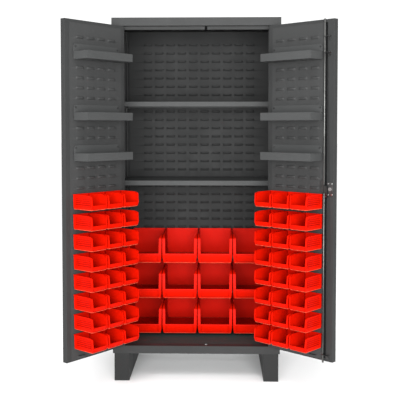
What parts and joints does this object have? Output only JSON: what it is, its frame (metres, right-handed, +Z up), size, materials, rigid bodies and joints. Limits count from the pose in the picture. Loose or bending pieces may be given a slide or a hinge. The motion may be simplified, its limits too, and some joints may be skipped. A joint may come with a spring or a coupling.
{
  "type": "parts bin cabinet",
  "caption": "tall sheet-steel storage cabinet on two skid legs, with two swinging doors, louvered panels, red hook-on bins, door trays, shelves and a rod lock",
  "frame": {"origin": "on the floor, under the middle of the cabinet body", "axes": "+Z up along the height, +X along the width, the doors' side faces -Y"},
  "size_m": [1.3797, 1.0208, 1.9812],
  "materials": {
    "body_paint": "dark grey powder coat, satin",
    "inner_paint": "dark grey powder coat, satin",
    "red_plastic": "moulded red polypropylene, semi-gloss",
    "zinc_plate": "bright zinc plate",
    "handle_chrome": "chrome-plated casting"
  },
  "bodies": {
    "cabinet": {"left_side_panel": "body_paint", "right_side_panel": "body_paint", "back_panel": "body_paint", "top_panel": "body_paint", "floor_panel": "inner_paint", "header_rail": "body_paint", "sill_rail": "body_paint", "left_stile": "body_paint", "right_stile": "body_paint", "left_leg": "body_paint", "right_leg": "body_paint", "back_louver_panel": "inner_paint", "shelf_standards": "inner_paint", "shelf_clips": "zinc_plate", "upper_shelf": "inner_paint", "lower_shelf": "inner_paint", "hinge_frame_leaves": "body_paint", "hinge_pins": "zinc_plate"},
    "left_door": {"left_door_pan": "body_paint", "left_door_louver_panel": "inner_paint", "left_door_hinge_leaves": "body_paint", "left_tray_upper": "inner_paint", "left_tray_middle": "inner_paint", "left_tray_lower": "inner_paint", "left_tray_screws": "zinc_plate"},
    "right_door": {"right_door_pan": "body_paint", "right_door_louver_panel": "inner_paint", "right_door_hinge_leaves": "body_paint", "right_tray_upper": "inner_paint", "right_tray_middle": "inner_paint", "right_tray_lower": "inner_paint", "right_door_screws": "zinc_plate", "rod_guides": "zinc_plate", "lock_escutcheon": "handle_chrome"},
    "handle": {"door_handle": "handle_chrome", "handle_spindle": "zinc_plate", "latch_cam": "zinc_plate", "cam_pins": "zinc_plate"},
    "lock_plug": {"lock_plug": "zinc_plate"},
    "upper_rod": {"upper_lock_rod": "zinc_plate"},
    "lower_rod": {"lower_lock_rod": "zinc_plate"},
    "back_row_1": {"back_bins_row_1": "red_plastic"},
    "back_row_2": {"back_bins_row_2": "red_plastic"},
    "back_row_3": {"back_bins_row_3": "red_plastic"},
    "left_row_1": {"left_bins_row_1": "red_plastic"},
    "left_row_2": {"left_bins_row_2": "red_plastic"},
    "left_row_3": {"left_bins_row_3": "red_plastic"},
    "left_row_4": {"left_bins_row_4": "red_plastic"},
    "left_row_5": {"left_bins_row_5": "red_plastic"},
    "left_row_6": {"left_bins_row_6": "red_plastic"},
    "left_row_7": {"left_bins_row_7": "red_plastic"},
    "left_row_8": {"left_bins_row_8": "red_plastic"},
    "right_row_1": {"right_bins_row_1": "red_plastic"},
    "right_row_2": {"right_bins_row_2": "red_plastic"},
    "right_row_3": {"right_bins_row_3": "red_plastic"},
    "right_row_4": {"right_bins_row_4": "red_plastic"},
    "right_row_5": {"right_bins_row_5": "red_plastic"},
    "right_row_6": {"right_bins_row_6": "red_plastic"},
    "right_row_7": {"right_bins_row_7": "red_plastic"},
    "right_row_8": {"right_bins_row_8": "red_plastic"}
  },
  "joints": [
    {"name": "left_door_hinge", "type": "hinge", "parent": "cabinet", "child": "left_door", "pos_m": [-0.414, -0.3108, 1.067], "axis": [0, 0, -1], "range_deg": [-128, 47]},
    {"name": "right_door_hinge", "type": "hinge", "parent": "cabinet", "child": "right_door", "pos_m": [0.414, -0.3108, 1.067], "axis": [0, 0, 1], "range_deg": [-138, 37]},
    {"name": "handle_turn", "type": "hinge", "parent": "right_door", "child": "handle", "pos_m": [0.67826, -0.55681, 1.08], "axis": [0.6691, 0.7431, 0], "range_deg": [0, 90]},
    {"name": "lock_plug_turn", "type": "hinge", "parent": "handle", "child": "lock_plug", "pos_m": [0.67826, -0.55681, 1.08], "axis": [0.6691, 0.7431, 0], "range_deg": [0, 90]},
    {"name": "upper_rod_slide", "type": "slide", "parent": "right_door", "child": "upper_rod", "axis": [0, 0, 1], "range_m": [0, 0.0184]},
    {"name": "lower_rod_slide", "type": "slide", "parent": "right_door", "child": "lower_rod", "axis": [0, 0, -1], "range_m": [0, 0.0184]},
    {"name": "back_row_1_lift", "type": "slide", "parent": "cabinet", "child": "back_row_1", "axis": [0, 0, 1], "range_m": [0, 0.007]},
    {"name": "back_row_2_lift", "type": "slide", "parent": "cabinet", "child": "back_row_2", "axis": [0, 0, 1], "range_m": [0, 0.007]},
    {"name": "back_row_3_lift", "type": "slide", "parent": "cabinet", "child": "back_row_3", "axis": [0, 0, 1], "range_m": [0, 0.007]},
    {"name": "left_row_1_lift", "type": "slide", "parent": "left_door", "child": "left_row_1", "axis": [0, 0, 1], "range_m": [0, 0.007]},
    {"name": "left_row_2_lift", "type": "slide", "parent": "left_door", "child": "left_row_2", "axis": [0, 0, 1], "range_m": [0, 0.007]},
    {"name": "left_row_3_lift", "type": "slide", "parent": "left_door", "child": "left_row_3", "axis": [0, 0, 1], "range_m": [0, 0.007]},
    {"name": "left_row_4_lift", "type": "slide", "parent": "left_door", "child": "left_row_4", "axis": [0, 0, 1], "range_m": [0, 0.007]},
    {"name": "left_row_5_lift", "type": "slide", "parent": "left_door", "child": "left_row_5", "axis": [0, 0, 1], "range_m": [0, 0.007]},
    {"name": "left_row_6_lift", "type": "slide", "parent": "left_door", "child": "left_row_6", "axis": [0, 0, 1], "range_m": [0, 0.007]},
    {"name": "left_row_7_lift", "type": "slide", "parent": "left_door", "child": "left_row_7", "axis": [0, 0, 1], "range_m": [0, 0.007]},
    {"name": "left_row_8_lift", "type": "slide", "parent": "left_door", "child": "left_row_8", "axis": [0, 0, 1], "range_m": [0, 0.007]},
    {"name": "right_row_1_lift", "type": "slide", "parent": "right_door", "child": "right_row_1", "axis": [0, 0, 1], "range_m": [0, 0.007]},
    {"name": "right_row_2_lift", "type": "slide", "parent": "right_door", "child": "right_row_2", "axis": [0, 0, 1], "range_m": [0, 0.007]},
    {"name": "right_row_3_lift", "type": "slide", "parent": "right_door", "child": "right_row_3", "axis": [0, 0, 1], "range_m": [0, 0.007]},
    {"name": "right_row_4_lift", "type": "slide", "parent": "right_door", "child": "right_row_4", "axis": [0, 0, 1], "range_m": [0, 0.007]},
    {"name": "right_row_5_lift", "type": "slide", "parent": "right_door", "child": "right_row_5", "axis": [0, 0, 1], "range_m": [0, 0.007]},
    {"name": "right_row_6_lift", "type": "slide", "parent": "right_door", "child": "right_row_6", "axis": [0, 0, 1], "range_m": [0, 0.007]},
    {"name": "right_row_7_lift", "type": "slide", "parent": "right_door", "child": "right_row_7", "axis": [0, 0, 1], "range_m": [0, 0.007]},
    {"name": "right_row_8_lift", "type": "slide", "parent": "right_door", "child": "right_row_8", "axis": [0, 0, 1], "range_m": [0, 0.007]}
  ],
  "couplings": [
    {"joint": "upper_rod_slide", "follows": "handle_turn", "m_per_rad": 0.0117},
    {"joint": "lower_rod_slide", "follows": "handle_turn", "m_per_rad": 0.0117}
  ]
}
